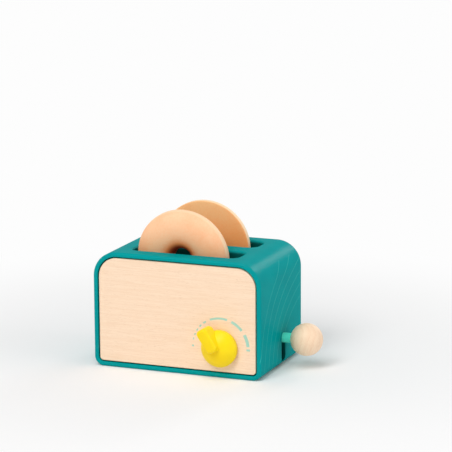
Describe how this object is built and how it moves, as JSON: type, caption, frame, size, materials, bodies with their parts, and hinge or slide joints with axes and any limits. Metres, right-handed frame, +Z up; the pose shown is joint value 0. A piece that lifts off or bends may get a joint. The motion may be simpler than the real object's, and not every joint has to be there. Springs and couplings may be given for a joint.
{
  "type": "toy toaster",
  "caption": "Play toaster with a moulded shell, a beech front panel, a turning dial, a spring-return press lever and bagel halves that stand in the bread slots.",
  "frame": {"origin": "centre of the body's flat underside, on the surface that the toy stands on", "axes": "+X to the lever's side, -Y out of the wooden front, +Z up"},
  "size_m": [0.2077, 0.1337, 0.1509],
  "materials": {
    "teal_shell": "satin moulded",
    "beech_panel": "fine sanded, clear matt lacquer",
    "beech_ball": "fine sanded, clear matt lacquer",
    "mint_stem": "satin moulded",
    "yellow_dial": "satin moulded",
    "bagel_crust": "matt moulded, painted crust",
    "bagel_cut": "matt moulded, fine crumb texture",
    "base_plastic": "fine spark texture",
    "inner_plastic": "plain moulded",
    "rubber_stop": "matt",
    "rod_steel": "drawn",
    "spring_steel": "drawn wire",
    "screw_steel": "zinc plated"
  },
  "bodies": {
    "housing": {"outer_shell": "teal_shell", "front_panel": "beech_panel", "base_plate": "base_plastic", "base_screws": "screw_steel", "panel_screws": "screw_steel", "front_bread_well": "teal_shell", "rear_bread_well": "teal_shell", "front_guide_rod": "rod_steel", "rear_guide_rod": "rod_steel", "stop_bumpers": "rubber_stop", "front_return_spring": "spring_steel", "rear_return_spring": "spring_steel", "dial_bush": "inner_plastic", "click_spring": "inner_plastic", "click_spring_screw": "screw_steel"},
    "carriage": {"carriage": "inner_plastic", "front_rack": "inner_plastic", "rear_rack": "inner_plastic", "rack_screws": "screw_steel", "lever_stem": "mint_stem", "stem_screw": "screw_steel", "lever_ball": "beech_ball"},
    "dial": {"dial_knob": "yellow_dial", "click_wheel": "inner_plastic", "dial_screw": "screw_steel"},
    "front_bagel": {"front_bagel_half": "bagel_crust"},
    "rear_bagel": {"rear_bagel_half": "bagel_cut"}
  },
  "joints": [
    {"name": "lever_slide", "type": "slide", "parent": "housing", "child": "carriage", "axis": [0, 0, 1], "range_m": [-0.018, 0], "stiffness_N_per_m": 150, "springref_m": 0.02, "deforming": ["front_return_spring", "rear_return_spring"]},
    {"name": "dial_turn", "type": "hinge", "parent": "housing", "child": "dial", "pos_m": [0.0441, -0.0556, 0.0287], "axis": [0, 1, 0], "range_deg": [-60, 120]},
    {"name": "front_bagel_lift", "type": "slide", "parent": "carriage", "child": "front_bagel", "axis": [0, 0, 1], "range_m": [0, 0.06]},
    {"name": "rear_bagel_lift", "type": "slide", "parent": "carriage", "child": "rear_bagel", "axis": [0, 0, 1], "range_m": [0, 0.06]}
  ]
}
